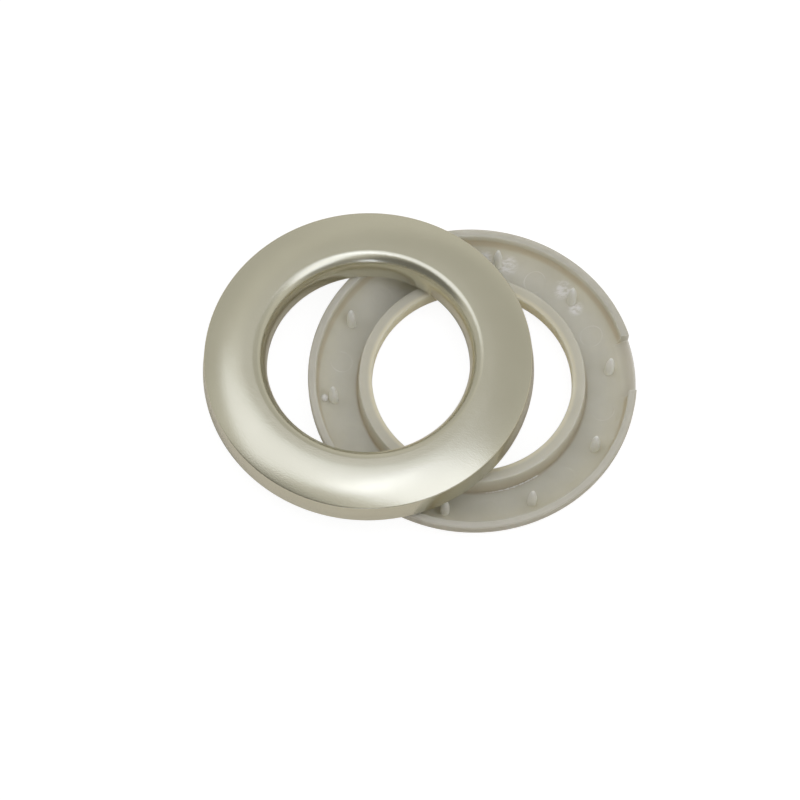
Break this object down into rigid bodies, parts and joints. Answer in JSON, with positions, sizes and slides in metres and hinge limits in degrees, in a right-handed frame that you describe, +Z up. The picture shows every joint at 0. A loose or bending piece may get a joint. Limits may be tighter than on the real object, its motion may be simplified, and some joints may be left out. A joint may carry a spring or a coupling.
{
  "type": "curtain grommet eyelet",
  "caption": "Two-part curtain grommet: a domed metallic front ring resting on an open, toothed plastic back ring, both round a wide hole.",
  "frame": {"origin": "on the axis of the back ring's hole, halfway up its straight wall", "axes": "+Z up out of the open side of the back ring, along the axis of its hole; +X from the front ring towards the side of the back ring that it leaves bare; +Y away from the viewer"},
  "size_m": [0.087, 0.0677, 0.015],
  "materials": {
    "back_plastic": "natural, slightly translucent moulded plastic",
    "front_plating": "satin champagne nickel plating over moulded plastic"
  },
  "bodies": {
    "root": {"back_ring": "back_plastic", "front_ring": "front_plating"}
  },
  "joints": []
}
